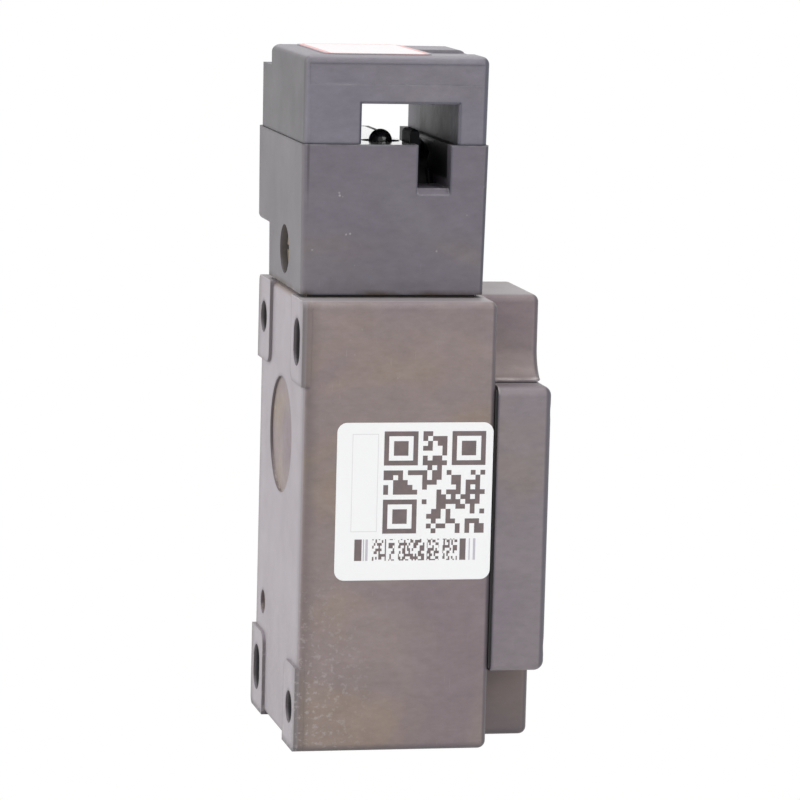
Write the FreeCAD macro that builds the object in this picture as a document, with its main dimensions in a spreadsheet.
import FreeCAD, Part
import math
import os
import re

import Sketcher

# Tongue-operated safety interlock switch in a die-cast housing.
# Frame: origin on the conduit axis at the base, +Z up, +Y to the mounting
# face at the rear, -Y to the wiring cover, X across the width.  Millimetres.

doc = FreeCAD.newDocument("tongue_interlock_switch")
sheet = doc.addObject("Spreadsheet::Sheet", "Sizes")

SIZES = {
    # housing
    "body_width": 40.0, "body_height": 73.2, "body_depth": 31.4, "axis_depth": 15.5,
    "wall": 2.5, "top_wall": 3.6, "edge_round": 1.3, "pad_height": 0.5, "pad_width": 10.4,
    "pad_tall": 13.8, "pad_round": 2.2, "rib_half": 10.0, "rib_flare": 5.0, "rib_setback": 0.2,
    "hole_pitch_wide": 30.0, "hole_inset": 6.6, "slot_shift": 0.5, "hole_radius": 2.65,
    "slot_length": 7.7, "emblem_radius": 9.5, "emblem_height": 49.0, "emblem_depth": 0.4,
    "vent_radius": 2.0, "vent_side": 13.0, "vent_height": 18.6, "vent_depth": 1.6,
    # conduit entry, tapped M20 x 1.5
    "entry_radius": 9.25, "entry_boss": 12.6, "entry_length": 10.0,
    # turret that the head turns on
    "turret_radius": 10.0, "turret_height": 8.4, "turret_bore": 5.0, "groove_depth": 1.0,
    "groove_half": 1.3, "running_gap": 0.08,
    # wiring cover
    "cover_low": 12.7, "cover_drop": 13.8, "cover_depth": 9.0, "cover_wall": 2.2,
    "cover_round": 1.6, "gasket_thick": 0.4, "gasket_inset": 0.6, "gasket_wide": 2.2,
    "cover_gap": 0.12, "screw_inset": 4.1, "screw_boss": 3.6, "cover_screw_radius": 1.75,
    "cover_screw_head": 3.0, "cover_screw_reach": 13.0, "cover_screw_sink": 2.4,
    # head
    "head_lift": 0.5, "head_half_low": 14.95, "head_half_high": 15.25, "block_tall": 24.1,
    "cap_half_low": 14.97, "cap_half_high": 15.1, "cap_tall": 14.15, "seam_gap": 0.06,
    "collar_reach": 25.0, "cap_collar_reach": 24.1, "collar_drop": 15.7, "collar_rise": 10.7,
    "head_round": 1.0, "cap_round": 1.3, "head_gasket_thick": 0.3, "head_gasket_inset": 1.2,
    # tongue passage and leg slot
    "passage_rear": 5.7, "passage_front": 10.1, "passage_tall": 6.5, "mouth_chamfer": 0.35,
    "slot_rear": 3.55, "slot_front": 8.95, "slot_deep": 7.0, "slot_chamfer": 1.0,
    "name_pad_height": 0.15, "name_pad_rear": 11.6, "name_pad_front": 6.2,
    "name_pad_side": 13.4, "name_pad_round": 2.4, "notch_near": 8.0, "notch_far": 3.0,
    "notch_deep": 0.5, "step_drop": 4.6, "step_deep": 0.12,
    # guide plate
    "plate_thick": 1.0, "plate_lip": 0.6, "plate_gap": 0.05, "plate_eye": 2.5,
    "plate_sink": 3.2, "plate_tuck": 2.0, "plate_front": 2.6,
    # cam wheel on its axle
    "cam_place": 4.9, "cam_lift": 6.4, "cam_radius": 9.4, "cam_rear": 4.95, "cam_front": 8.65,
    "cam_groove_rear": 7.3, "cam_groove_front": 7.7, "cam_groove_deep": 0.9, "cam_bevel": 0.6,
    "cam_skirt": 0.8,
    "hub_radius": 3.2, "hub_end": 1.9, "arm_tip": 1.5, "arm_web": 1.0, "arm_half": 1.5, "arm_rest": 15.0,
    "axle_radius": 1.5, "axle_front": 14.6, "axle_rear": 5.5, "axle_fit": 0.05, "pocket_gap": 0.4,
    "cam_notch_radius": 2.0, "cam_notch_place": 8.2,
    # locking lever
    "lever_place": 15.0, "lever_under": 3.7, "lever_rear": 2.9, "lever_front": 4.5,
    "lever_half": 1.4, "lever_reach": 26.5, "nose_long": 6.0, "nose_rise": 2.2,
    "nose_round": 0.7, "lever_pin": 1.0, "lever_pin_end": 3.0, "lever_drop": 2.7,
    # locking plunger with the domed tip
    "dome_place": 6.0, "dome_side": 0.8, "dome_radius": 1.9, "dome_rise": 1.9,
    "dome_skirt": 2.9, "skirt_tall": 2.4, "dome_well": 9.2, "dome_travel": 1.9,
    "spring_wire": 0.45, "dome_coil": 2.2, "plunger_coil": 3.5, "lever_coil": 0.55, "lever_wire": 0.25,
    # switching plunger
    "plunger_radius": 2.0, "tip_radius": 1.2, "tip_tall": 1.6, "plunger_collar": 4.2, "collar_thick": 1.5, "collar_room": 1.56,
    "coil_room": 5.5, "foot_room": 1.0, "plunger_stroke": 2.54, "bush_flange": 6.2, "bush_flange_thick": 1.5,
    "seal_radius": 3.4, "seal_thick": 1.6, "contact_gap": 0.05, "press_gap": 0.02,
    # contact block
    "block_half": 11.0, "block_front": 9.0, "block_rear": 9.5, "block_split": 4.0, "case_tall": 31.0,
    "carrier_inset": 7.0, "carrier_half": 3.9, "carrier_deep": 2.9, "neck_radius": 2.4, "slide_gap": 0.3, "chamber_half": 9.8,
    "chamber_deep": 3.2, "bridge_thick": 0.8, "bridge_half": 9.0, "bridge_deep": 1.2,
    "upper_place": 18.0, "lower_place": 11.4, "contact_wide": 4.0, "contact_inner": 5.6,
    "contact_tail": 2.0, "tab_tall": 5.0, "clamp_half": 2.2, "clamp_thick": 1.2, "terminal_head": 2.3, "terminal_screw": 1.5,
    "terminal_head_tall": 2.0, "terminal_reach": 5.0,
    # small screws
    "cap_screw_place": 11.7, "cap_screw_radius": 1.25, "cap_screw_head": 2.3,
    "cap_screw_sink": 3.0, "cap_screw_bite": 8.0, "lock_screw_rise": 6.3,
    "lock_screw_radius": 1.2, "lock_screw_shank": 2.0, "lock_screw_head": 3.3,
    "lock_bore": 4.0, "lock_bore_deep": 3.4, "lock_head_tall": 2.4,
    "earth_room": 1.0, "earth_radius": 1.75, "earth_head": 2.6,
    "block_screw_radius": 1.5, "block_screw_head": 2.7, "block_screw_side": 8.0,
    "block_screw_drop": 3.4, "slot_width": 0.8, "slot_drive": 0.9,
}
for row, (alias, value) in enumerate(SIZES.items(), start=1):
    sheet.set(f"A{row}", alias)
    sheet.set(f"B{row}", str(value))
    sheet.setAlias(f"B{row}", alias)
doc.recompute()

# Sizes that follow others, so that a changed housing or head carries its insides.
FOLLOWS = {
    "hole_pitch_tall": "body_height - 2 * hole_inset",
    "hole_low": "hole_inset",
    "cover_tall": "body_height - cover_low - cover_drop",
    "collar_height": "body_height - top_wall - bush_flange_thick - plunger_stroke - collar_thick - collar_room",
    "block_high": "collar_height - coil_room",
    "block_low": "block_high - case_tall",
    "plunger_foot": "block_high + foot_room",
    "carrier_low": "block_low + carrier_inset",
    "carrier_high": "block_high - carrier_inset",
    "bridge_upper": "block_low + upper_place",
    "bridge_lower": "block_low + lower_place",
    "block_screw_height": "block_high - block_screw_drop",
    "earth_side": "body_width / 2 - wall - earth_head - earth_room",
    "earth_height": "cover_low + screw_inset + screw_boss + earth_head",
    "cam_height": "body_height + turret_height + cam_lift",
    "lever_height": "body_height + head_lift + block_tall - lever_under",
    "lock_screw_height": "body_height + lock_screw_rise",
}

# Levels and faces that several pieces share, written in the sheet's names.
REAR = "(axis_depth - pad_height)"
FRONT = f"({REAR} - body_depth)"
COVER_BACK = f"({FRONT} - gasket_thick)"
COVER_FACE = f"({COVER_BACK} - cover_depth)"
COVER_HIGH = "(cover_low + cover_tall)"
HEAD_LOW = "(body_height + head_lift)"
SEAM = f"({HEAD_LOW} + block_tall)"
CAP_LOW = f"({SEAM} + seam_gap)"
CAP_HIGH = f"({CAP_LOW} + cap_tall)"
PLATE_LOW = f"({SEAM} - plate_thick)"
CEILING = f"({SEAM} + passage_tall)"
HALF = "(body_width / 2)"
HOLE_MID = "(hole_low + hole_pitch_tall / 2)"
FAR = "(body_width * 2)"
TURRET_TOP = "(body_height + turret_height)"
POCKET_FLOOR = f"({TURRET_TOP} + 1.6)"
PLUNGER_TOP = "(cam_height - cam_place * sin(arm_rest) - arm_tip - contact_gap)"
TURN = {
    "x": FreeCAD.Rotation(FreeCAD.Vector(0, 1, 0), 90),
    "y": FreeCAD.Rotation(FreeCAD.Vector(1, 0, 0), -90),
    "z": FreeCAD.Rotation(),
}
WORD = re.compile(r"[a-z][a-z_]*[a-z]")


def linked(text):
    """An expression with each size's name pointed at the sheet."""
    def target(match):
        if match[0] in FOLLOWS:
            return f"({linked(FOLLOWS[match[0]])})"
        return f"Sizes.{match[0]}" if match[0] in SIZES else match[0]

    return WORD.sub(target, str(text))


def size(text):
    """The present value of an expression, for shapes that Part makes directly."""
    probe = doc.addObject("App::FeaturePython", "Probe")
    probe.addProperty("App::PropertyFloat", "Value")
    probe.setExpression("Value", linked(text))
    doc.recompute([probe])
    value = probe.Value
    doc.removeObject(probe.Name)
    return value


def bind(item, **texts):
    for name, text in texts.items():
        item.setExpression(name.replace("__", "."), linked(text))
    return item


def place(item, x=0, y=0, z=0):
    return bind(item, Placement__Base__x=x, Placement__Base__y=y, Placement__Base__z=z)


def box(name, x, y, z):
    """A block from low to high along each axis."""
    item = doc.addObject("Part::Box", name)
    bind(item, Length=f"({x[1]}) - ({x[0]})", Width=f"({y[1]}) - ({y[0]})")
    bind(item, Height=f"({z[1]}) - ({z[0]})")
    return place(item, x[0], y[0], z[0])


def rod(name, axis, radius, span, x=0, y=0, z=0):
    """A cylinder along one axis, from low to high."""
    item = doc.addObject("Part::Cylinder", name)
    item.Placement = FreeCAD.Placement(FreeCAD.Vector(), TURN[axis])
    bind(item, Radius=radius, Height=f"({span[1]}) - ({span[0]})")
    start = {"x": x, "y": y, "z": z, axis: span[0]}
    return place(item, **start)


def taper(name, x_low, x_high, y_low, y_high, z):
    """A block whose sides lean: half widths along X and Y at its foot and its top."""
    item = doc.addObject("Part::Wedge", name)
    item.Placement = FreeCAD.Placement(FreeCAD.Vector(), FreeCAD.Rotation(FreeCAD.Vector(1, 0, 0), 90))
    bind(item, Xmin=f"-({x_low[0]})", Xmax=x_low[1], X2min=f"-({x_high[0]})", X2max=x_high[1])
    bind(item, Zmin=f"-({y_low})", Zmax=y_low, Z2min=f"-({y_high})", Z2max=y_high)
    bind(item, Ymin=0, Ymax=f"({z[1]}) - ({z[0]})")
    return place(item, z=z[0])


def join(name, *items):
    item = doc.addObject("Part::MultiFuse", name)
    item.Shapes = list(items)
    item.Refine = True
    return item


def cut(name, base, *tools):
    item = doc.addObject("Part::Cut", name)
    item.Base = base
    item.Tool = tools[0] if len(tools) == 1 else join(f"{name}_tools", *tools)
    item.Refine = True
    return item


def group(name, *items):
    item = doc.addObject("Part::Compound", name)
    item.Links = list(items)
    return item


def mirror(name, source, normal, z=0):
    item = doc.addObject("Part::Mirroring", name)
    item.Source = source
    item.Normal = FreeCAD.Vector(*normal)
    return bind(item, Base__z=z)


def four(name, source, z):
    """The piece and its mirror images left to right and up to down."""
    pair = group(f"{name}_pair", source, mirror(f"{name}_side", source, (1, 0, 0)))
    return group(name, pair, mirror(f"{name}_down", pair, (0, 0, 1), z))


def dressed(kind, name, base, sizes, choose):
    """Fillets or chamfers on the edges that a test picks out."""
    doc.recompute()
    picked = []
    for index, edge in enumerate(base.Shape.Edges, start=1):
        middle = edge.valueAt((edge.FirstParameter + edge.LastParameter) / 2)
        run = edge.Vertexes[-1].Point - edge.Vertexes[0].Point
        if run.Length > 1e-6:
            run.normalize()
        if choose(middle, run, edge):
            picked.append((index, size(sizes), size(sizes)))
    item = doc.addObject(kind, name)
    item.Base = base
    item.Edges = picked
    return item


def rounded(name, base, radius, choose):
    return dressed("Part::Fillet", name, base, radius, choose)


def chamfered(name, base, depth, choose):
    return dressed("Part::Chamfer", name, base, depth, choose)


def turned(name, outline):
    """A turned piece about its own Z: (radius, height) corners, revolved."""
    body = doc.addObject("PartDesign::Body", name)
    sketch = body.newObject("Sketcher::SketchObject", f"{name}_outline")
    plane = next(f for f in body.Origin.OriginFeatures if f.Role == "XZ_Plane")
    sketch.AttachmentSupport = [(plane, "")]
    sketch.MapMode = "FlatFace"
    draw(sketch, outline)
    spin = body.newObject("PartDesign::Revolution", f"{name}_turning")
    spin.Profile = sketch
    spin.ReferenceAxis = (sketch, ["V_Axis"])
    spin.Angle = 360
    return body


def draw(sketch, outline):
    """A closed outline of straight lines whose corners follow the sheet."""
    spots = [FreeCAD.Vector(size(u), size(v), 0) for u, v in outline]
    for index, spot in enumerate(spots):
        follower = spots[(index + 1) % len(spots)]
        sketch.addGeometry(Part.LineSegment(spot, follower), False)
    for index, (u, v) in enumerate(outline):
        previous = (index - 1) % len(outline)
        sketch.addConstraint(Sketcher.Constraint("Coincident", previous, 2, index, 1))
        for kind, text, value in (("DistanceX", u, spots[index].x), ("DistanceY", v, spots[index].y)):
            number = sketch.addConstraint(Sketcher.Constraint(kind, -1, 1, index, 1, value))
            sketch.setExpression(f"Constraints[{number}]", linked(text))


# Housing: a die-cast box with corner columns for the mounting screws, narrow
# ribs above and below the wiring cover, rear pads and a turret for the head.
def side_notch(name, low, high, flare_z=None):
    """The space beside a rib; a quarter-round flare can meet its foot."""
    space = box(name, ("rib_half", FAR), (f"-{FAR}", FRONT), (low, high))
    if flare_z is None:
        return [space, mirror(f"{name}_other", space, (1, 0, 0))]
    over = f"{flare_z} + rib_flare"
    upper = box(f"{name}_upper", ("rib_half", FAR), (f"-{FAR}", FRONT), (over, high))
    outer = box(f"{name}_outer", ("rib_half + rib_flare", FAR), (f"-{FAR}", FRONT), (low, high))
    bend = rod(f"{name}_bend", "y", "rib_flare", (f"-{FAR}", FRONT), x="rib_half + rib_flare", z=over)
    shape = join(f"{name}_space", upper, outer, bend)
    return [shape, mirror(f"{name}_mirror", shape, (1, 0, 0))]


RIB_FACE = f"({COVER_FACE} + rib_setback)"
RIM_LOW = "(cover_low - cover_gap)"
RIM_HIGH = f"({COVER_HIGH} + cover_gap)"
shell = box("shell", (f"-{HALF}", HALF), (FRONT, REAR), (0, "body_height"))
upper_rib = cut(
    "upper_rib",
    box("upper_rib_block", (f"-{HALF}", HALF), (RIB_FACE, f"{FRONT} + 1"), (RIM_HIGH, "body_height")),
    *side_notch("upper_notch", RIM_HIGH, "body_height + 1", RIM_HIGH),
)
lower_rib = box("lower_rib", ("-rib_half", "rib_half"), (RIB_FACE, f"{FRONT} + 1"), (0, RIM_LOW))
pad = box(
    "pad", (f"{HALF} - pad_width", HALF), (f"{REAR} - 1", "axis_depth"), ("body_height - pad_tall", "body_height")
)
PAD_MIDDLE = (f"{HALF} - pad_width / 2", "body_height - pad_tall / 2")
pad_round = rounded(
    "pad_round", pad, "pad_round",
    lambda m, run, e: abs(run.y) > 0.9 and m.x < size(PAD_MIDDLE[0]) and m.z < size(PAD_MIDDLE[1]),
)
pad_outer = rounded(
    "pad_outer", pad_round, "edge_round",
    lambda m, run, e: abs(run.y) > 0.9 and m.x > size(PAD_MIDDLE[0]) and m.z > size(PAD_MIDDLE[1]),
)
pads = four("pads", pad_outer, "body_height / 2")
outside = join("outside", shell, upper_rib, lower_rib)


def on_outside(middle, run, edge):
    """The long outer edges that the casting rounds off."""
    rise = abs(middle.z - size("body_height / 2"))
    tall = abs(run.z) > 0.9 and rise < size("body_height / 20")
    ends = middle.z > size("body_height") - 0.1 or middle.z < 0.1
    rib_front = abs(middle.y - size(RIB_FACE)) < 0.1 and rise > size("cover_tall * 0.45")
    under = abs(middle.z - size(RIM_HIGH)) < 0.1 or abs(middle.z - size(RIM_LOW)) < 0.1
    return (tall or ends or rib_front) and not under


casting = rounded("casting", outside, "edge_round", on_outside)
turret = rod("turret", "z", "turret_radius", ("body_height - 1", TURRET_TOP))
GROOVE = ("lock_screw_height - groove_half", "lock_screw_height + groove_half")
turret_groove = cut(
    "turret_groove",
    rod("groove_ring", "z", "turret_radius + 1", GROOVE),
    rod("groove_core", "z", "turret_radius - groove_depth", ("body_height", TURRET_TOP)),
)
boss = rod("entry_boss", "z", "entry_boss", (0, "entry_length"))
cavity = box(
    "cavity", (f"wall - {HALF}", f"{HALF} - wall"), (f"{FRONT} - 1", f"{REAR} - wall"),
    (f"{RIM_LOW} + wall", f"{RIM_HIGH} - wall"),
)
tall_cavity = box(
    "tall_cavity", ("wall - rib_half - 1", "rib_half - wall + 1"), (f"{FRONT} + wall", f"{REAR} - wall"),
    ("wall", "body_height - top_wall"),
)
SCREW_X = f"({HALF} - screw_inset)"
SCREW_LOW = "(cover_low + screw_inset)"
screw_boss = rod("cover_boss", "y", "screw_boss", (FRONT, f"{REAR} - 1"), x=SCREW_X, z=SCREW_LOW)
COVER_MID = "(cover_low + cover_tall / 2)"
screw_bosses = four("cover_bosses", screw_boss, COVER_MID)
hollow = cut("hollow", join("hollow_space", cavity, tall_cavity), screw_bosses, boss)
tapping = rod(
    "tapping", "y", "cover_screw_radius", (f"{FRONT} - 1", f"{FRONT} + cover_screw_reach + 1"),
    x=SCREW_X, z=SCREW_LOW,
)
HOLE_X = "(hole_pitch_wide / 2)"
HOLE_RUN = (f"-{FAR}", FAR)
round_hole = rod("round_hole", "y", "hole_radius", HOLE_RUN, x=HOLE_X, z="hole_low + hole_pitch_tall")
round_hole_low = rod("round_hole_low", "y", "hole_radius", HOLE_RUN, x=f"-{HOLE_X}", z="hole_low")


def slot_hole(name, x, z):
    half = "(slot_length / 2 - hole_radius)"
    return join(
        name,
        rod(f"{name}_top", "y", "hole_radius", HOLE_RUN, x=x, z=f"{z} + {half}"),
        rod(f"{name}_foot", "y", "hole_radius", HOLE_RUN, x=x, z=f"{z} - {half}"),
        box(f"{name}_middle", (f"{x} - hole_radius", f"{x} + hole_radius"), HOLE_RUN,
            (f"{z} - {half}", f"{z} + {half}")),
    )


emblem = rod("emblem_seat", "y", "emblem_radius", (f"{REAR} - emblem_depth", REAR), z="emblem_height")
vent = rod("pin_mark", "y", "vent_radius", (f"{REAR} - vent_depth", REAR), x="vent_side", z="vent_height")
bush_seat = rod("bush_seat", "z", "turret_bore", ("body_height - top_wall - 1", f"{TURRET_TOP} + 1"))
entry = rod("entry", "z", "entry_radius", (-1, "entry_length + 1"))
block_feet = "(block_screw_height - 2.4 * block_screw_radius)"
block_seat = box(
    "block_seat", ("-block_half", "block_half"), ("block_rear", f"{REAR} - wall + 0.5"), (block_feet, "block_high")
)
block_seat_low = box(
    "block_seat_low", ("-block_half", "block_half"), ("block_rear", f"{REAR} - wall + 0.5"),
    ("block_low", "block_low + 4"),
)
earth_boss = rod(
    "earth_boss", "y", "earth_head", (f"{REAR} - wall - 5", f"{REAR} - wall + 0.5"), x="earth_side", z="earth_height"
)
block_tap = rod(
    "block_tap", "y", "block_screw_radius", (0, f"{REAR} - 0.8"), x="block_screw_side", z="block_screw_height"
)
solid_body = join(
    "solid_body", cut("hollow_casting", casting, hollow), pads, turret, block_seat, block_seat_low, earth_boss
)
body_housing = cut(
    "body_housing", solid_body, turret_groove, four("tappings", tapping, COVER_MID), round_hole, round_hole_low,
    slot_hole("slot_near", f"-{HOLE_X}", "hole_low + hole_pitch_tall - slot_shift"),
    slot_hole("slot_far", HOLE_X, "hole_low + slot_shift"),
    emblem, vent, bush_seat, entry, block_tap, mirror("block_tap_other", block_tap, (1, 0, 0)),
    rod("earth_tap", "y", "earth_radius", (0, f"{REAR} - 0.8"), x="earth_side", z="earth_height"),
)

# Wiring cover: a shallow tub with a screw boss in each corner, on a flat gasket.
cover_block = box("cover_block", (f"-{HALF}", HALF), (COVER_FACE, COVER_BACK), ("cover_low", COVER_HIGH))
cover_shape = rounded(
    "cover_shape", cover_block, "cover_round",
    lambda m, run, e: abs(run.y) > 0.9 or m.y < size(COVER_FACE) + 0.1,
)
cover_hollow = cut(
    "cover_hollow",
    box("cover_space", (f"cover_wall - {HALF}", f"{HALF} - cover_wall"), (f"{COVER_FACE} + cover_wall", f"{FRONT} + 1"),
        ("cover_low + cover_wall", f"{COVER_HIGH} - cover_wall")),
    four("cover_posts", rod("cover_post", "y", "screw_boss", (COVER_FACE, FRONT), x=SCREW_X, z=SCREW_LOW), COVER_MID),
)
cover_passes = join(
    "cover_passes",
    rod("screw_pass", "y", "cover_screw_radius + 0.15", (f"{COVER_FACE} - 1", FRONT), x=SCREW_X, z=SCREW_LOW),
    rod("head_pass", "y", "cover_screw_head + 0.3", (f"{COVER_FACE} - 1", f"{COVER_FACE} + cover_screw_sink"),
        x=SCREW_X, z=SCREW_LOW),
)
front_cover = cut("front_cover", cover_shape, cover_hollow, four("passes", cover_passes, COVER_MID))

gasket_plate = box(
    "gasket_plate", (f"gasket_inset - {HALF}", f"{HALF} - gasket_inset"), (COVER_BACK, FRONT),
    ("cover_low + gasket_inset", f"{COVER_HIGH} - gasket_inset"),
)
gasket_window = box(
    "gasket_window", (f"gasket_inset + gasket_wide - {HALF}", f"{HALF} - gasket_inset - gasket_wide"),
    (f"{COVER_BACK} - 1", f"{FRONT} + 1"),
    ("cover_low + gasket_inset + gasket_wide", f"{COVER_HIGH} - gasket_inset - gasket_wide"),
)
gasket_eye = rod("gasket_eye", "y", "screw_boss - 0.2", (COVER_BACK, FRONT), x=SCREW_X, z=SCREW_LOW)
gasket_hole = rod("gasket_hole", "y", "cover_screw_radius + 0.15", (f"-{FAR}", FRONT), x=SCREW_X, z=SCREW_LOW)
cover_gasket = cut(
    "cover_gasket",
    join("gasket_sheet", cut("gasket_frame", gasket_plate, gasket_window),
         four("gasket_eyes", gasket_eye, COVER_MID)),
    four("gasket_holes", gasket_hole, COVER_MID),
)


def screw(name, axis, head, head_tall, shank, reach, seat, x="0", y="0", z="0", away=1):
    """A slotted pan-head screw: its seat is the underside of the head."""
    top = f"({seat}) + ({away}) * ({head_tall})"
    tip = f"({seat}) - ({away}) * ({reach})"
    head_run = (seat, top) if away > 0 else (top, seat)
    shank_run = (tip, seat) if away > 0 else (seat, tip)
    spot = {"x": x, "y": y, "z": z}
    body = join(
        f"{name}_turning", rod(f"{name}_head", axis, head, head_run, **spot),
        rod(f"{name}_shank", axis, shank, shank_run, **spot),
    )
    deep = f"({top}) - ({away}) * slot_drive"
    spans = {k: (f"({v}) - slot_width / 2", f"({v}) + slot_width / 2") for k, v in spot.items()}
    long = next(k for k in "xyz" if k != axis)
    spans[long] = (f"({spot[long]}) - ({head}) - 1", f"({spot[long]}) + ({head}) + 1")
    spans[axis] = (deep, f"({top}) + 1") if away > 0 else (f"({top}) - 1", deep)
    return cut(f"{name}_slotted", body, box(f"{name}_drive", spans["x"], spans["y"], spans["z"]))


one_cover_screw = screw(
    "cover_screw", "y", "cover_screw_head", "cover_screw_sink - 0.3", "cover_screw_radius",
    f"({FRONT} - {COVER_FACE} - cover_screw_sink + cover_screw_reach)", f"({COVER_FACE} + cover_screw_sink)",
    x=SCREW_X, z=SCREW_LOW, away=-1,
)
cover_screws = four("cover_screws", one_cover_screw, COVER_MID)

# Turret bush, its lip seal and the gasket that the head stands on.
bush_body = join(
    "bush_body",
    rod("bush_tube", "z", "turret_bore - press_gap", ("body_height - top_wall", TURRET_TOP)),
    rod("bush_lip", "z", "bush_flange", ("body_height - top_wall - bush_flange_thick", "body_height - top_wall")),
)
SEAL_LOW = f"({TURRET_TOP} - seal_thick)"
plunger_bush = cut(
    "plunger_bush", bush_body,
    rod("bush_bore", "z", "plunger_radius + axle_fit", ("collar_height", f"{TURRET_TOP} + 1")),
    rod("seal_seat", "z", "seal_radius", (SEAL_LOW, f"{TURRET_TOP} + 1")),
)
plunger_seal = cut(
    "plunger_seal", rod("seal_ring", "z", "seal_radius - press_gap", (SEAL_LOW, TURRET_TOP)),
    rod("seal_bore", "z", "plunger_radius + contact_gap", ("body_height", f"{TURRET_TOP} + 1")),
)
GASKET_HALF = "(head_half_low - head_gasket_inset)"
head_gasket = cut(
    "head_gasket",
    box("head_gasket_sheet", (f"-{GASKET_HALF}", GASKET_HALF), (f"-{GASKET_HALF}", GASKET_HALF),
        ("body_height", "body_height + head_gasket_thick")),
    rod("head_gasket_hole", "z", "turret_radius + slide_gap", ("body_height - 1", HEAD_LOW)),
)

# Head block: a drafted square casting with a collar around the far mouth of the
# tongue passage; slots and pockets for the cam wheel, lever and plunger.
COLLAR_LOW = f"({SEAM} - collar_drop)"
COLLAR_HALF = "(head_half_high - (head_half_high - head_half_low) * collar_drop / block_tall)"
block_form = join(
    "block_form",
    taper("block_core", ("head_half_low", "head_half_low"), ("head_half_high", "head_half_high"),
          "head_half_low", "head_half_high", (HEAD_LOW, SEAM)),
    taper("block_collar", ("0", "collar_reach"), ("0", "collar_reach"), COLLAR_HALF, "head_half_high",
          (COLLAR_LOW, SEAM)),
)


BESIDE_COLLAR = "((head_half_high + cap_collar_reach) / 2)"


def block_edge(middle, run, edge):
    """Outer uprights and the collar's lower edge, not the inner corner beside it."""
    outer = middle.x < 0 or middle.x > size(BESIDE_COLLAR)
    upright = abs(run.z) > 0.9 and (outer or middle.z < size(COLLAR_LOW))
    under = middle.x > size(BESIDE_COLLAR) and abs(middle.z - size(COLLAR_LOW)) < 0.1
    return upright or under


block_cast = rounded("block_cast", block_form, "head_round", block_edge)
SLOT_LOW = f"({SEAM} - slot_deep)"
leg_slot = box("leg_slot", (f"-{FAR}", FAR), ("-slot_front", "-slot_rear"), (SLOT_LOW, f"{SEAM} + 1"))
slotted = cut("slotted_block", block_cast, leg_slot)


slot_mouths = chamfered(
    "slot_mouths", slotted, "slot_chamfer", lambda m, run, e: abs(run.y) > 0.9 and abs(m.z - size(SLOT_LOW)) < 0.1
)
cam_pocket = box(
    "cam_pocket", ("cam_place - cam_radius - pocket_gap", "cam_place + cam_radius + pocket_gap"),
    ("-slot_front", "0.2 - cam_rear"), (POCKET_FLOOR, f"{SEAM} + 1"),
)
hub_pocket = box(
    "hub_pocket", ("-arm_tip - 2 * pocket_gap", "cam_place + hub_radius + pocket_gap"),
    ("-cam_rear", "hub_end + pocket_gap"), (POCKET_FLOOR, f"{SEAM} + 1"),
)
LEVER_TIP = "(lever_place - lever_reach)"
lever_pocket = box(
    "lever_pocket", (f"{LEVER_TIP} - pocket_gap", "lever_place + 2 * lever_half + pocket_gap"),
    ("-lever_front - 0.2", "0.2 - lever_rear"), ("lever_height - lever_half - lever_drop - pocket_gap", f"{SEAM} + 1"),
)
plate_pocket = box(
    "plate_pocket", ("plate_lip - plate_gap - head_half_high", "cap_collar_reach - plate_lip + plate_gap"),
    ("-plate_front - plate_gap", "passage_rear + plate_tuck + plate_gap"), (PLATE_LOW, f"{SEAM} + 1"),
)
dome_well = rod("dome_well", "z", "dome_skirt + 0.15", (f"{SEAM} - dome_well", SEAM), x="-dome_place", y="dome_side")
lever_well = rod(
    "lever_well", "z", "lever_coil + lever_wire", ("lever_height - lever_half - lever_drop - 2", SEAM),
    x=f"{LEVER_TIP} + nose_long / 2", y="-(lever_rear + lever_front) / 2",
)
CAP_SCREW_SEAT = f"({HEAD_LOW} + cap_screw_sink)"
cap_screw_pass = join(
    "cap_screw_pass",
    rod("cap_screw_hole", "z", "cap_screw_radius + 0.1", ("body_height", f"{SEAM} + 1"),
        x="cap_screw_place", y="cap_screw_place"),
    rod("cap_screw_recess", "z", "cap_screw_head + 0.2", ("body_height", CAP_SCREW_SEAT),
        x="cap_screw_place", y="cap_screw_place"),
)


def corners(name, source):
    """The piece in all four corners of the head."""
    pair = group(f"{name}_pair", source, mirror(f"{name}_across", source, (1, 0, 0)))
    return group(name, pair, mirror(f"{name}_front", pair, (0, 1, 0)))


LOCK_SEAT = "(head_half_low - lock_bore_deep)"
head_block = cut(
    "head_block", slot_mouths, cam_pocket, hub_pocket, lever_pocket, plate_pocket, dome_well, lever_well,
    corners("cap_screw_passes", cap_screw_pass),
    rod("turret_socket", "z", "turret_radius + running_gap", ("body_height", f"{TURRET_TOP} + slide_gap")),
    rod("plunger_pass", "z", "plunger_radius + slide_gap", ("body_height", f"{POCKET_FLOOR} + 0.5")),
    rod("axle_hole", "y", "axle_radius + press_gap", (f"-{FAR}", "axle_rear + press_gap"), x="cam_place", z="cam_height"),
    rod("pin_hole", "y", "lever_pin + press_gap", ("-lever_front", "lever_pin_end"), x="lever_place", z="lever_height"),
    rod("lock_hole", "y", "lock_screw_shank + press_gap", ("0", FAR), z="lock_screw_height"),
    rod("lock_recess", "y", "lock_bore", (LOCK_SEAT, FAR), z="lock_screw_height"),
)

# Head cap: closes the passage, carries a low pad for the name plate on top.
cap_form = join(
    "cap_form",
    taper("cap_core", ("cap_half_low", "cap_half_low"), ("cap_half_high", "cap_half_high"),
          "cap_half_low", "cap_half_high", (CAP_LOW, CAP_HIGH)),
    taper("cap_collar", ("0", "cap_collar_reach"), ("0", "cap_collar_reach"), "cap_half_low",
          "cap_half_low + (cap_half_high - cap_half_low) * collar_rise / cap_tall",
          (CAP_LOW, f"{SEAM} + collar_rise")),
)


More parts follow.
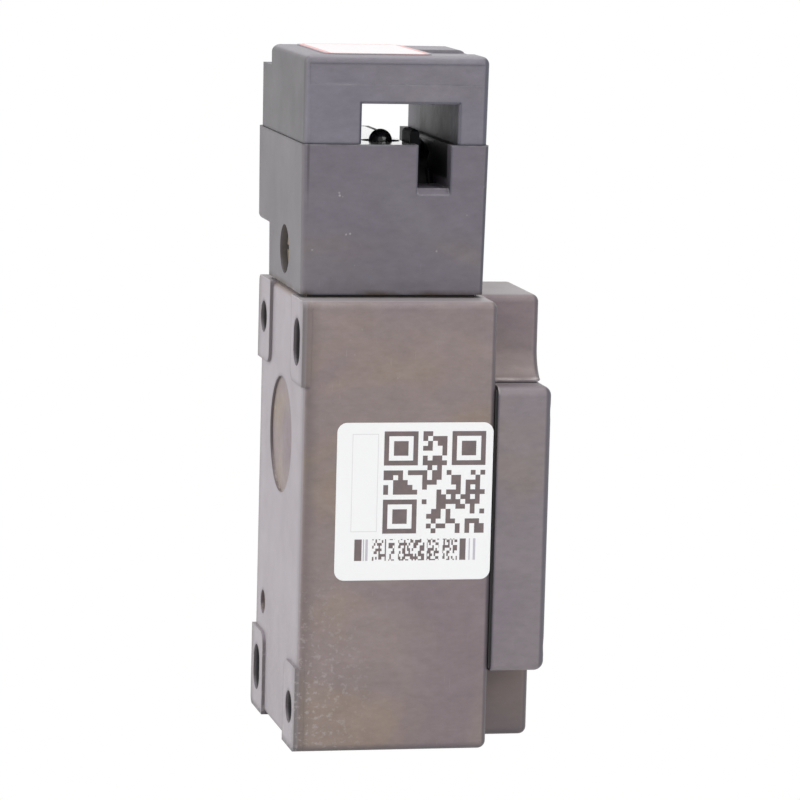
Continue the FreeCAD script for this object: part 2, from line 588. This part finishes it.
def cap_edge(middle, run, edge):
    """Outer uprights and every upper edge of the cap and its collar."""
    upright = abs(run.z) > 0.9 and (middle.x > size(BESIDE_COLLAR) or middle.x < 0)
    top = abs(middle.z - size(CAP_HIGH)) < 0.1
    collar = middle.x > size("cap_half_high + 0.1") and abs(middle.z - size(f"{SEAM} + collar_rise")) < 0.1
    return upright or top or collar


cap_cast = rounded("cap_cast", cap_form, "cap_round", cap_edge)
passage = box(
    "passage", (f"-{FAR}", FAR), ("-passage_front", "passage_rear"), (f"{SEAM} - 1", CEILING)
)
cap_open = cut("cap_open", cap_cast, passage)


def mouth_edge(middle, run, edge):
    """The rims of the passage where it leaves the cap, on both sides."""
    outer = abs(middle.x) > size("cap_half_low - 2 * mouth_chamfer") and not 0 < middle.x < size(BESIDE_COLLAR)
    inside = -size("passage_front") - 0.05 < middle.y < size("passage_rear") + 0.05
    rim = inside and size(CAP_LOW) + 0.1 < middle.z < size(CEILING) + 0.05 and abs(run.x) < 0.5
    return outer and rim


cap_mouths = chamfered("cap_mouths", cap_open, "mouth_chamfer", mouth_edge)
name_pad = rounded(
    "name_pad",
    box("name_pad_block", ("-name_pad_side", "name_pad_side"), ("-name_pad_front", "name_pad_rear"),
        (f"{CAP_HIGH} - 1", f"{CAP_HIGH} + name_pad_height")),
    "name_pad_round", lambda m, run, e: abs(run.z) > 0.9,
)
notch = box("notch", ("-notch_near", "notch_far"), (f"-{FAR}", "-name_pad_front - 0.8"),
            (f"{CAP_HIGH} - notch_deep", f"{CAP_HIGH} + 1"))
step = box("step", (f"-{FAR}", "step_deep - cap_half_high"), (f"-{FAR}", FAR),
           (f"{CAP_HIGH} - step_drop", f"{CAP_HIGH} - cap_round"))
cap_tapping = rod("cap_tapping", "z", "cap_screw_radius", (SEAM, f"{SEAM} + cap_screw_bite + 0.5"),
                  x="cap_screw_place", y="cap_screw_place")
head_cap = cut(
    "head_cap", join("cap_with_pad", cap_mouths, name_pad), notch, step, corners("cap_tappings", cap_tapping)
)
one_cap_screw = screw(
    "cap_screw", "z", "cap_screw_head", "cap_screw_sink - 1", "cap_screw_radius",
    f"({SEAM} + cap_screw_bite - {CAP_SCREW_SEAT})", CAP_SCREW_SEAT, x="cap_screw_place", y="cap_screw_place", away=-1,
)
head_cap_screws = corners("head_cap_screws", one_cap_screw)
GROOVE_FLOOR = "(turret_radius - groove_depth + slide_gap)"
lock_screw_body = screw(
    "lock_screw", "y", "lock_screw_head", "lock_head_tall", "lock_screw_shank",
    f"({LOCK_SEAT} - turret_radius - 2 * running_gap)", LOCK_SEAT, z="lock_screw_height",
)
head_locking_screw = join(
    "head_locking_screw", lock_screw_body,
    rod("lock_screw_dog", "y", "lock_screw_radius", (GROOVE_FLOOR, "turret_radius + 1"), z="lock_screw_height"),
)

# Polished guide plate: floor of the passage, held down by the cap's edge.
plate_sheet = box(
    "plate_sheet", ("plate_lip - head_half_high", "cap_collar_reach - plate_lip"),
    ("-plate_front", "passage_rear + plate_tuck"), (PLATE_LOW, SEAM),
)
plate_sink = doc.addObject("Part::Cone", "plate_sink")
bind(plate_sink, Radius1="plate_eye", Radius2="plate_sink + 0.2", Height="plate_thick + 0.2")
place(plate_sink, "-dome_place", "dome_side", PLATE_LOW)
guide_plate = cut(
    "guide_plate", plate_sheet, plate_sink,
    rod("plate_eye", "z", "plate_eye", (f"{PLATE_LOW} - 1", f"{SEAM} + 1"), x="-dome_place", y="dome_side"),
)

# Cam wheel: a half disc with two tongue notches and a groove, a long hub and
# the arm that holds the switching plunger down.
CAM = {"x": "cam_place", "z": "cam_height"}
cam_disc = cut(
    "cam_disc", rod("cam_round", "y", "cam_radius", ("-cam_front", "-cam_rear"), **CAM),
    box("cam_missing_half", ("cam_place - 2 * cam_radius", "cam_place + 2 * cam_radius"), (f"-{FAR}", FAR),
        ("cam_height - 2 * cam_radius", "cam_height + cam_skirt")),
)
cam_rim = chamfered(
    "cam_rim", cam_disc, "cam_bevel", lambda m, run, e: "Circle" in str(e.Curve) and m.z > size("cam_height + 2")
)
cam_groove = cut(
    "cam_groove", rod("groove_outer", "y", "cam_radius + 1", ("-cam_groove_front", "-cam_groove_rear"), **CAM),
    rod("groove_inner", "y", "cam_radius - cam_groove_deep", ("-cam_front", "-cam_rear"), **CAM),
)
NOTCH_SHIFT = "(cam_notch_place * sin(45))"
cam_notches = [
    rod(f"tongue_notch_{side}", "y", "cam_notch_radius", (f"-{FAR}", FAR),
        x=f"cam_place {sign} {NOTCH_SHIFT}", z=f"cam_height + {NOTCH_SHIFT}")
    for side, sign in (("near", "-"), ("far", "+"))
]
cam_arm = join(
    "cam_arm",
    box("arm_bar", ("-cam_place", "0"), ("-arm_half", "arm_half"), ("-arm_web", "arm_web")),
    rod("arm_end", "y", "arm_tip", ("-arm_half", "arm_half"), x="-cam_place"),
)
cam_arm.Placement = FreeCAD.Placement(FreeCAD.Vector(), FreeCAD.Rotation(FreeCAD.Vector(0, 1, 0), -size("arm_rest")))
place(cam_arm, "cam_place", 0, "cam_height")
cam_wheel = cut(
    "cam_wheel",
    join("cam_solid", cut("cam_cut", cam_rim, cam_groove, *cam_notches),
         rod("cam_hub", "y", "hub_radius", ("-cam_front", "hub_end"), **CAM), cam_arm),
    rod("cam_bore", "y", "axle_radius + axle_fit", (f"-{FAR}", FAR), **CAM),
)
cam_axle = rod("cam_axle", "y", "axle_radius", ("-axle_front", "axle_rear"), **CAM)

# Locking lever: its nose stands above the guide plate until a tongue presses it.
NOSE_TOP = f"({SEAM} + nose_rise)"
lever_bar = join(
    "lever_bar",
    box("lever_beam", (LEVER_TIP, "lever_place"), ("-lever_front", "-lever_rear"),
        ("lever_height - lever_half", "lever_height + lever_half")),
    rod("lever_eye", "y", "2 * lever_half", ("-lever_front", "-lever_rear"), x="lever_place", z="lever_height"),
    box("lever_nose", (LEVER_TIP, f"{LEVER_TIP} + nose_long"), ("-lever_front", "-lever_rear"),
        ("lever_height", NOSE_TOP)),
)
lever_shaped = rounded(
    "lever_shaped", lever_bar, "nose_round", lambda m, run, e: abs(m.z - size(NOSE_TOP)) < 0.1
)
lock_lever = cut(
    "lock_lever", lever_shaped,
    rod("lever_bore", "y", "lever_pin + axle_fit", (f"-{FAR}", FAR), x="lever_place", z="lever_height"),
)
lever_pin = rod("lever_pin", "y", "lever_pin", ("-lever_front", "lever_pin_end - press_gap"), x="lever_place", z="lever_height")

# Locking plunger: a domed pin whose skirt is kept in by the guide plate.
DOME = {"x": "-dome_place", "y": "dome_side"}
DOME_MIDDLE = f"({SEAM} + dome_rise - dome_radius)"
SKIRT_TOP = f"({PLATE_LOW} - contact_gap)"
dome_ball = doc.addObject("Part::Sphere", "dome_ball")
bind(dome_ball, Radius="dome_radius")
place(dome_ball, "-dome_place", "dome_side", DOME_MIDDLE)
lock_plunger = join(
    "lock_plunger", dome_ball, rod("dome_stem", "z", "dome_radius", (f"{SKIRT_TOP} - 1", DOME_MIDDLE), **DOME),
    rod("dome_skirt", "z", "dome_skirt", (f"{SKIRT_TOP} - skirt_tall", SKIRT_TOP), **DOME),
)

# Switching plunger: carries the cam's stroke down to the contact block.
switch_plunger = join(
    "switch_plunger", rod("plunger_rod", "z", "plunger_radius", ("plunger_foot", f"{PLUNGER_TOP} - tip_tall")),
    rod("plunger_tip", "z", "tip_radius", ("plunger_foot", PLUNGER_TOP)),
    rod("plunger_ring", "z", "plunger_collar", ("collar_height", "collar_height + collar_thick")),
)

# Contact block: moulded case with a back plate, a carrier with two bridges,
# fixed contacts that end at four terminals, and its two fixing screws.
ACROSS = ("-block_half", "block_half")
CHAMBER_LOW = "(bridge_lower - 3 * bridge_thick)"
CHAMBER_HIGH = "(bridge_upper + 3 * bridge_thick + plunger_stroke)"
UPPER_STRIP = "(bridge_upper + bridge_thick + plunger_stroke + 2 * contact_gap)"
LOWER_STRIP = "(bridge_lower - contact_gap - bridge_thick)"
CONTACT_OUTER = "(contact_inner + contact_wide)"


def fixed_contact(name, low, grow="0", up=-1):
    """A bent strip: inside limb under the bridge's end and a tab on the front."""
    wide = (f"contact_inner - {grow}", f"{CONTACT_OUTER} + {grow}")
    limb = box(f"{name}_limb", wide, ("-block_front - bridge_thick", "contact_tail"),
               (f"{low} - {grow}", f"{low} + bridge_thick + {grow}"))
    tab_run = (f"{low} + bridge_thick - tab_tall", f"{low} + bridge_thick")
    tab = box(f"{name}_tab", wide, ("-block_front - bridge_thick", "-block_front"), tab_run)
    return join(name, limb, tab)


def sides(name, *sources):
    return group(name, *sources, *[mirror(f"{name}_{s.Name}", s, (1, 0, 0)) for s in sources])


UPPER_TERMINAL = f"({UPPER_STRIP} + bridge_thick - tab_tall / 2)"
LOWER_TERMINAL = f"({LOWER_STRIP} + bridge_thick - tab_tall / 2)"
TERMINAL_X = "(contact_inner + contact_wide / 2)"
CLAMP_FACE = "(-block_front - bridge_thick - clamp_thick)"


def strip(level, low, terminal):
    """A fixed contact whose tab is holed for its terminal screw."""
    hole = rod(f"{level}_tab_hole", "y", "terminal_screw + contact_gap", (CLAMP_FACE, "-block_front + 1"),
               x=TERMINAL_X, z=terminal)
    return cut(f"{level}_strip", fixed_contact(f"{level}_contact", low), hole)


fixed_contacts = sides(
    "fixed_contacts", strip("upper", UPPER_STRIP, UPPER_TERMINAL), strip("lower", LOWER_STRIP, LOWER_TERMINAL)
)
contact_slots = sides(
    "contact_slots",
    fixed_contact("upper_slot", UPPER_STRIP, "press_gap"), fixed_contact("lower_slot", LOWER_STRIP, "press_gap"),
)
case_space = join(
    "case_space",
    box("chamber", ("-chamber_half", "chamber_half"), ("-chamber_deep", "block_split + 1"), (CHAMBER_LOW, CHAMBER_HIGH)),
    box("carrier_way", ("-carrier_half - slide_gap", "carrier_half + slide_gap"), ("-carrier_deep - slide_gap", "block_split + 1"),
        ("carrier_low - slide_gap", "carrier_high + plunger_stroke + slide_gap")),
    rod("neck_way", "z", "neck_radius + slide_gap", ("carrier_high", "block_high + 1")),
)
terminal_taps = [
    rod(f"terminal_tap_{level}", "y", "terminal_screw", ("-block_front - 1", "terminal_reach - block_front"),
        x=TERMINAL_X, z=z)
    for level, z in (("upper", UPPER_TERMINAL), ("lower", LOWER_TERMINAL))
]
block_screw_hole = rod(
    "block_screw_hole", "y", "block_screw_radius + 0.1", (f"-{FAR}", FAR), x="block_screw_side", z="block_screw_height"
)
contact_block = cut(
    "contact_block", box("block_case", ACROSS, ("-block_front", "block_split"), ("block_low", "block_high")),
    case_space, contact_slots, sides("terminal_taps", *terminal_taps), sides("block_holes", block_screw_hole),
)
contact_block_back = cut(
    "contact_block_back", box("back_plate", ACROSS, ("block_split", "block_rear"), ("block_low", "block_high")),
    sides("back_holes", block_screw_hole), rod("back_neck", "z", "neck_radius + slide_gap", ("block_high", "block_high + 1")),
)
BRIDGES = [("upper", "bridge_upper"), ("lower", "bridge_lower")]
moving_contacts = group(
    "moving_contacts",
    *[box(f"{level}_bridge", ("-bridge_half", "bridge_half"), ("-bridge_deep", "bridge_deep"), (low, f"{low} + bridge_thick"))
      for level, low in BRIDGES],
)
carrier_windows = [
    box(f"{level}_window", (f"-{FAR}", FAR), ("-bridge_deep - press_gap", "bridge_deep + press_gap"),
        (f"{low} - press_gap", f"{low} + bridge_thick + press_gap"))
    for level, low in BRIDGES
]
contact_carrier = cut(
    "contact_carrier",
    join("carrier_form",
         box("carrier_body", ("-carrier_half", "carrier_half"), ("-carrier_deep", "carrier_deep"),
             ("carrier_low", "carrier_high")),
         rod("carrier_neck", "z", "neck_radius", ("carrier_high - 1", "plunger_foot - press_gap"))),
    *carrier_windows,
)
clamps = []
terminals = []
for level, z in (("upper", UPPER_TERMINAL), ("lower", LOWER_TERMINAL)):
    plate = box(f"{level}_clamp_plate", (f"{TERMINAL_X} - clamp_half", f"{TERMINAL_X} + clamp_half"),
                (CLAMP_FACE, "-block_front - bridge_thick"), (f"{z} - clamp_half", f"{z} + clamp_half"))
    hole = rod(f"{level}_clamp_hole", "y", "terminal_screw + contact_gap", (f"-{FAR}", "0"), x=TERMINAL_X, z=z)
    clamps.append(cut(f"{level}_clamp", plate, hole))
    terminals.append(screw(f"{level}_terminal", "y", "terminal_head", "terminal_head_tall", "terminal_screw",
                           "(terminal_reach + bridge_thick + clamp_thick)", CLAMP_FACE, x=TERMINAL_X, z=z, away=-1))
terminal_clamps = sides("terminal_clamps", *clamps)
terminal_screws = sides("terminal_screws", *terminals)
contact_block_screws = sides(
    "contact_block_screws",
    screw("block_screw", "y", "block_screw_head", "terminal_head_tall", "block_screw_radius",
          f"(block_front + {REAR} - 1)", "(-block_front)", x="block_screw_side", z="block_screw_height", away=-1),
)
earth_screw = screw(
    "earth_screw", "y", "earth_head", "terminal_head_tall", "earth_radius", "(wall + 3.5)", f"({REAR} - wall - 5)",
    x="earth_side", z="earth_height", away=-1,
)
earth_screw.Label = "earth_screw"


def coil(name, radius, wire, low, high, turns, x="0", y="0"):
    """A compression spring with closed ends, its wire a hexagon swept in flats."""
    reach, half, start, end = size(radius), size(wire) / 2, size(low), size(high)
    closed = 2 * half * 1.1
    climb = (end - start - 2 * half - 2 * closed) / (turns - 2)
    rings = []
    for index in range(turns * FLATS_PER_TURN + 1):
        turn = index / FLATS_PER_TURN
        open_turns = min(max(turn - 1, 0), turns - 2)
        middle = start + half + closed * (turn - open_turns) + climb * open_turns
        aim = 2 * math.pi * turn
        ring = []
        for side in range(WIRE_SIDES):
            lean = 2 * math.pi * side / WIRE_SIDES
            out = reach + half * math.cos(lean)
            ring.append(FreeCAD.Vector(out * math.cos(aim), out * math.sin(aim), middle + half * math.sin(lean)))
        rings.append(ring)
    faces = [Part.Face(Part.makePolygon(ring + ring[:1])) for ring in (rings[0], rings[-1])]
    for low_ring, high_ring in zip(rings, rings[1:]):
        for side in range(WIRE_SIDES):
            after = (side + 1) % WIRE_SIDES
            a, b, c, d = low_ring[side], low_ring[after], high_ring[after], high_ring[side]
            faces.append(Part.Face(Part.makePolygon([a, b, c, a])))
            faces.append(Part.Face(Part.makePolygon([a, c, d, a])))
    solid = Part.makeSolid(Part.makeShell(faces))
    if solid.Volume < 0:
        solid.reverse()
    item = doc.addObject("Part::Feature", name)
    item.Shape = solid
    item.Placement = FreeCAD.Placement(FreeCAD.Vector(size(x), size(y), 0), FreeCAD.Rotation())
    return item


FLATS_PER_TURN = 10
WIRE_SIDES = 4
WELL_FLOOR = f"({SEAM} - dome_well + contact_gap)"
lock_plunger_spring = coil(
    "lock_plunger_spring", "dome_coil", "spring_wire", WELL_FLOOR, f"({SKIRT_TOP} - skirt_tall - contact_gap)", 5,
    x="-dome_place", y="dome_side",
)
plunger_spring = coil(
    "plunger_spring", "plunger_coil", "spring_wire", "(block_high + contact_gap)", "(collar_height - contact_gap)", 4
)
lever_spring = coil(
    "lever_spring", "lever_coil", "lever_wire", "(lever_height - lever_half - lever_drop - 2 + contact_gap)",
    "(lever_height - lever_half - contact_gap)", 6, x=f"({LEVER_TIP} + nose_long / 2)", y="(-(lever_rear + lever_front) / 2)",
)

PIECES = [
    body_housing, front_cover, cover_gasket, cover_screws, head_gasket, plunger_bush, plunger_seal,
    head_block, head_cap, head_cap_screws, head_locking_screw, guide_plate, cam_axle, lever_pin,
    cam_wheel, lock_lever, lever_spring, lock_plunger, lock_plunger_spring, switch_plunger, plunger_spring,
    contact_block, contact_block_back, contact_block_screws, contact_carrier, moving_contacts,
    fixed_contacts, terminal_clamps, terminal_screws, earth_screw,
]
doc.recompute()
failed = [item.Name for item in doc.Objects if "Invalid" in item.State or "Error" in item.State]
if failed:
    raise RuntimeError(f"features that did not build: {failed}")
os.makedirs("parts", exist_ok=True)
for piece in PIECES:
    shape = piece.Shape
    if shape.isNull() or not shape.isValid() or not shape.Solids:
        raise RuntimeError(f"{piece.Label} has no sound solid")
    shape.exportStep(os.path.join("parts", f"{piece.Label}.step"))
    print(f"{piece.Label:24s} solids {len(shape.Solids)}  volume {shape.Volume:10.2f}  faces {len(shape.Faces)}")
